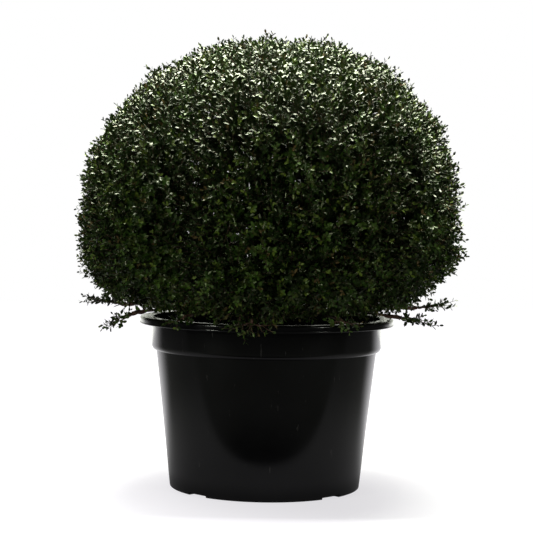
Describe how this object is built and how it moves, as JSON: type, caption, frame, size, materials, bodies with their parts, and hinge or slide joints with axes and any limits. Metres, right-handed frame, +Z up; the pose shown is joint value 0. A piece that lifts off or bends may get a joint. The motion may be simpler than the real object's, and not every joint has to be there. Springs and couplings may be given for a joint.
{
  "type": "potted japanese holly",
  "caption": "Dense, clipped evergreen dome of small oval leaves on a short stem, growing in a low, wide black plastic nursery pot with a turned-down rim.",
  "frame": {"origin": "middle of the pot's flat underside, on the pot's axis", "axes": "+Z up along the pot's axis, -Y towards the viewer of the picture, +X to the viewer's right"},
  "size_m": [0.7906, 0.7878, 0.9274],
  "materials": {
    "pot_plastic": "satin moulded black plastic",
    "compost": "moist bark compost",
    "bark": "grey-brown bark",
    "foliage": "small glossy dark green leaves"
  },
  "bodies": {
    "root": {"bough_back_left": "bark", "bough_back_right": "bark", "bough_front": "bark", "bough_left": "bark", "bough_right": "bark", "compost": "compost", "crown": "foliage", "low_bough_back": "bark", "low_bough_back_left": "bark", "low_bough_back_right": "bark", "low_bough_front": "bark", "low_bough_front_left": "bark", "low_bough_front_right": "bark", "low_bough_left_high": "bark", "low_bough_left_low": "bark", "low_bough_right_high": "bark", "low_bough_right_low": "bark", "pot": "pot_plastic", "spray_back": "foliage", "spray_back_left": "foliage", "spray_back_right": "foliage", "spray_front": "foliage", "spray_front_left": "foliage", "spray_front_right": "foliage", "spray_left_high": "foliage", "spray_left_low": "foliage", "spray_right_high": "foliage", "spray_right_low": "foliage", "trunk": "bark"}
  },
  "joints": []
}
